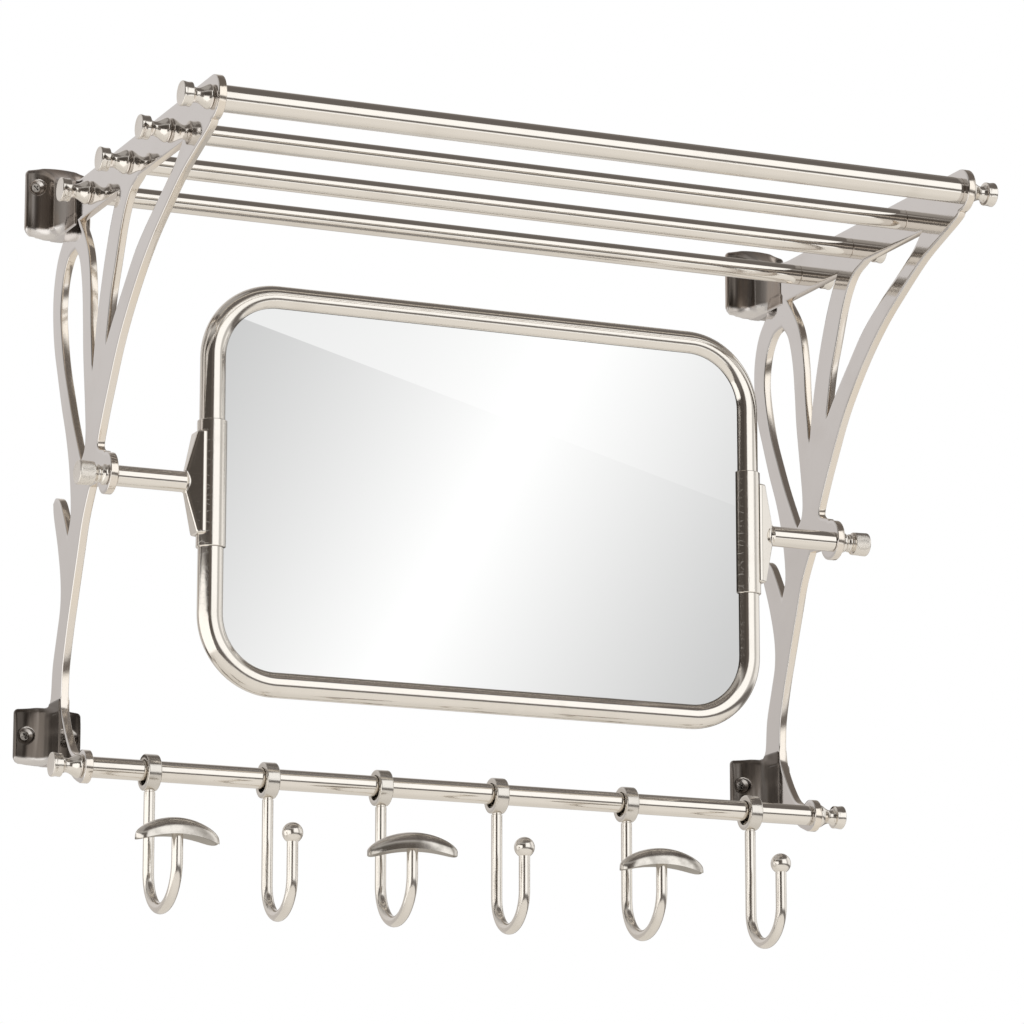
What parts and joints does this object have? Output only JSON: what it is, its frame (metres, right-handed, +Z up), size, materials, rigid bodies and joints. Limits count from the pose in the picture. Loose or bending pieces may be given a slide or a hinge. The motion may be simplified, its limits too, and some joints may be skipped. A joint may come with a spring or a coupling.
{
  "type": "wall rack with tilting mirror and hooks",
  "caption": "Wall rack with a rod shelf on scrolled side brackets, a tilting framed mirror and a lower rail of sliding, swinging coat and hat hooks.",
  "frame": {"origin": "on the wall plane, in the middle of the outer wall screws", "axes": "+X to the right along the wall, +Y into the wall, +Z up"},
  "size_m": [0.5002, 0.284, 0.4523],
  "materials": {
    "nickel": "polished warm nickel plate",
    "cast_metal": "polished casting",
    "mirror_glass": "silvered glass",
    "back_panel": "satin grey paint"
  },
  "bodies": {
    "rack": {"left_bracket": "cast_metal", "right_bracket": "cast_metal", "shelf_rod_1": "nickel", "shelf_rod_2": "nickel", "shelf_rod_3": "nickel", "shelf_rod_4": "nickel", "hook_rail": "nickel", "shelf_finial_left_1": "nickel", "shelf_finial_left_2": "nickel", "shelf_finial_left_3": "nickel", "shelf_finial_left_4": "nickel", "shelf_finial_right_1": "nickel", "shelf_finial_right_2": "nickel", "shelf_finial_right_3": "nickel", "shelf_finial_right_4": "nickel", "rail_finial_left": "nickel", "rail_finial_right": "nickel"},
    "mirror": {"mirror_frame_upper": "nickel", "mirror_frame_lower": "nickel", "mirror_glass": "mirror_glass", "mirror_back_panel": "back_panel", "frame_sleeve_left": "nickel", "frame_sleeve_right": "nickel", "pivot_saddle_left": "nickel", "pivot_saddle_right": "nickel", "pivot_rod_left": "nickel", "pivot_rod_right": "nickel", "pivot_knob_left": "nickel", "pivot_knob_right": "nickel"},
    "ring_1": {"hook_ring_1": "nickel"},
    "hook_1": {"hook_stem_1": "nickel"},
    "rest_1": {"hat_rest_1": "nickel"},
    "ring_2": {"hook_ring_2": "nickel"},
    "hook_2": {"hook_stem_2": "nickel", "hook_ball_2": "nickel"},
    "ring_3": {"hook_ring_3": "nickel"},
    "hook_3": {"hook_stem_3": "nickel"},
    "rest_3": {"hat_rest_3": "nickel"},
    "ring_4": {"hook_ring_4": "nickel"},
    "hook_4": {"hook_stem_4": "nickel", "hook_ball_4": "nickel"},
    "ring_5": {"hook_ring_5": "nickel"},
    "hook_5": {"hook_stem_5": "nickel"},
    "rest_5": {"hat_rest_5": "nickel"},
    "ring_6": {"hook_ring_6": "nickel"},
    "hook_6": {"hook_stem_6": "nickel", "hook_ball_6": "nickel"}
  },
  "joints": [
    {"name": "mirror_tilt", "type": "hinge", "parent": "rack", "child": "mirror", "pos_m": [0, -0.1075, -0.03], "axis": [1, 0, 0], "range_deg": [-55, 55]},
    {"name": "hook_1_slide", "type": "slide", "parent": "rack", "child": "ring_1", "axis": [1, 0, 0], "range_m": [-0.016, 0.016]},
    {"name": "hook_1_swing", "type": "hinge", "parent": "ring_1", "child": "hook_1", "pos_m": [-0.1911, -0.071, -0.19195], "axis": [1, 0, 0], "range_deg": [-60, 45]},
    {"name": "hat_rest_1_turn", "type": "hinge", "parent": "hook_1", "child": "rest_1", "pos_m": [-0.1911, -0.119, -0.231], "axis": [0, 0, 1], "range_deg": [-90, 90]},
    {"name": "hook_2_slide", "type": "slide", "parent": "rack", "child": "ring_2", "axis": [1, 0, 0], "range_m": [-0.016, 0.016]},
    {"name": "hook_2_swing", "type": "hinge", "parent": "ring_2", "child": "hook_2", "pos_m": [-0.11944, -0.071, -0.19195], "axis": [1, 0, 0], "range_deg": [-60, 45]},
    {"name": "hook_3_slide", "type": "slide", "parent": "rack", "child": "ring_3", "axis": [1, 0, 0], "range_m": [-0.016, 0.016]},
    {"name": "hook_3_swing", "type": "hinge", "parent": "ring_3", "child": "hook_3", "pos_m": [-0.0496, -0.071, -0.19195], "axis": [1, 0, 0], "range_deg": [-60, 45]},
    {"name": "hat_rest_3_turn", "type": "hinge", "parent": "hook_3", "child": "rest_3", "pos_m": [-0.0496, -0.119, -0.231], "axis": [0, 0, 1], "range_deg": [-90, 90]},
    {"name": "hook_4_slide", "type": "slide", "parent": "rack", "child": "ring_4", "axis": [1, 0, 0], "range_m": [-0.016, 0.016]},
    {"name": "hook_4_swing", "type": "hinge", "parent": "ring_4", "child": "hook_4", "pos_m": [0.02343, -0.071, -0.19195], "axis": [1, 0, 0], "range_deg": [-60, 45]},
    {"name": "hook_5_slide", "type": "slide", "parent": "rack", "child": "ring_5", "axis": [1, 0, 0], "range_m": [-0.016, 0.016]},
    {"name": "hook_5_swing", "type": "hinge", "parent": "ring_5", "child": "hook_5", "pos_m": [0.10693, -0.071, -0.19195], "axis": [1, 0, 0], "range_deg": [-60, 45]},
    {"name": "hat_rest_5_turn", "type": "hinge", "parent": "hook_5", "child": "rest_5", "pos_m": [0.10693, -0.119, -0.231], "axis": [0, 0, 1], "range_deg": [-90, 90]},
    {"name": "hook_6_slide", "type": "slide", "parent": "rack", "child": "ring_6", "axis": [1, 0, 0], "range_m": [-0.016, 0.016]},
    {"name": "hook_6_swing", "type": "hinge", "parent": "ring_6", "child": "hook_6", "pos_m": [0.18837, -0.071, -0.19195], "axis": [1, 0, 0], "range_deg": [-60, 45]}
  ]
}
